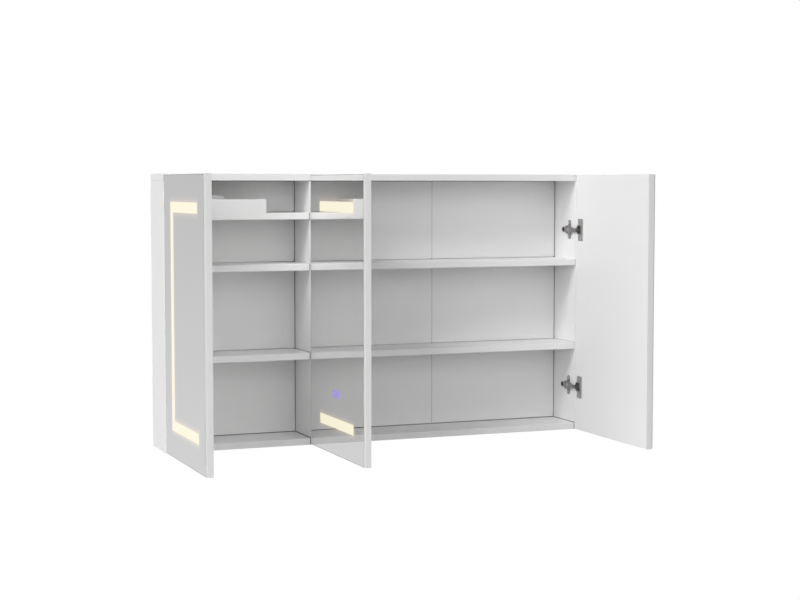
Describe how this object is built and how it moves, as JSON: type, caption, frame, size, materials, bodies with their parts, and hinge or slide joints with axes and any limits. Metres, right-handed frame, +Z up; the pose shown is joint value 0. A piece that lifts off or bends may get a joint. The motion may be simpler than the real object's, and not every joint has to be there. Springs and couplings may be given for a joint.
{
  "type": "lighted mirror cabinet",
  "caption": "Wall-hung white bathroom cabinet with mirror-faced swing doors carrying light bars and touch signs, shelves, an electrics bay and concealed hinges.",
  "frame": {"origin": "midway between the two hanger holes, on the plane of the wall", "axes": "+X to the right seen from the front, +Y into the wall, +Z up; doors stored open at 90 degrees"},
  "size_m": [1, 0.4566, 0.6],
  "materials": {
    "white_board": "white melamine-faced board, satin",
    "white_back": "thin white-faced board",
    "mirror": "silvered float glass",
    "diffuser": "opal light cover, lit",
    "led_tape": "light tape on a white strip",
    "nickel_steel": "nickel-plated pressed steel",
    "zinc_steel": "zinc-plated steel",
    "beech": "fluted beech dowel",
    "white_plastic": "moulded white plastic",
    "dark_plastic": "moulded dark plastic",
    "grommet_rubber": "black rubber",
    "sign": "frosted clear mark in the silvering, lit from behind"
  },
  "bodies": {
    "carcass": {"top_panel": "white_board", "bottom_panel": "white_board", "left_side_panel": "white_board", "right_side_panel": "white_board", "partition_panel": "white_board", "electrics_shelf": "white_board", "left_upper_shelf": "white_board", "left_lower_shelf": "white_board", "right_upper_shelf": "white_board", "right_lower_shelf": "white_board", "electrics_fascia_front": "white_board", "electrics_fascia_end": "white_board", "back_panel_left": "white_back", "back_panel_middle": "white_back", "back_panel_right": "white_back", "left_hinge_plates": "nickel_steel", "left_hinge_arms": "nickel_steel", "middle_hinge_plates": "nickel_steel", "middle_hinge_arms": "nickel_steel", "right_hinge_plates": "nickel_steel", "right_hinge_arms": "nickel_steel", "hanger_plates": "zinc_steel", "hanger_screws": "zinc_steel", "hinge_plate_screws": "zinc_steel", "hinge_arm_screws": "zinc_steel", "panel_dowels": "beech", "light_driver": "white_plastic", "terminal_block": "white_plastic", "back_joint_strips": "white_plastic", "cable_grommet": "grommet_rubber"},
    "left_door": {"left_door_leaf": "white_board", "left_door_mirror": "mirror", "left_door_diffuser": "diffuser", "left_door_led_tape": "led_tape", "left_hinge_cups": "nickel_steel", "left_hinge_pins": "nickel_steel", "left_hinge_cup_screws": "zinc_steel"},
    "middle_door": {"middle_door_leaf": "white_board", "middle_door_mirror": "mirror", "middle_door_diffuser": "diffuser", "middle_door_led_tape": "led_tape", "middle_hinge_cups": "nickel_steel", "middle_hinge_pins": "nickel_steel", "middle_hinge_cup_screws": "zinc_steel", "touch_switch": "dark_plastic", "touch_signs": "sign"},
    "right_door": {"right_door_leaf": "white_board", "right_door_mirror": "mirror", "right_door_diffuser": "diffuser", "right_door_led_tape": "led_tape", "right_hinge_cups": "nickel_steel", "right_hinge_pins": "nickel_steel", "right_hinge_cup_screws": "zinc_steel"}
  },
  "joints": [
    {"name": "left_door_swing", "type": "hinge", "parent": "carcass", "child": "left_door", "pos_m": [-0.4929, -0.1292, -0.2715], "axis": [0, 0, 1], "range_deg": [-5, 90]},
    {"name": "middle_door_swing", "type": "hinge", "parent": "carcass", "child": "middle_door", "pos_m": [-0.1649, -0.1292, -0.2715], "axis": [0, 0, 1], "range_deg": [-5, 90]},
    {"name": "right_door_swing", "type": "hinge", "parent": "carcass", "child": "right_door", "pos_m": [0.4929, -0.1292, -0.2715], "axis": [0, 0, -1], "range_deg": [-5, 90]}
  ]
}
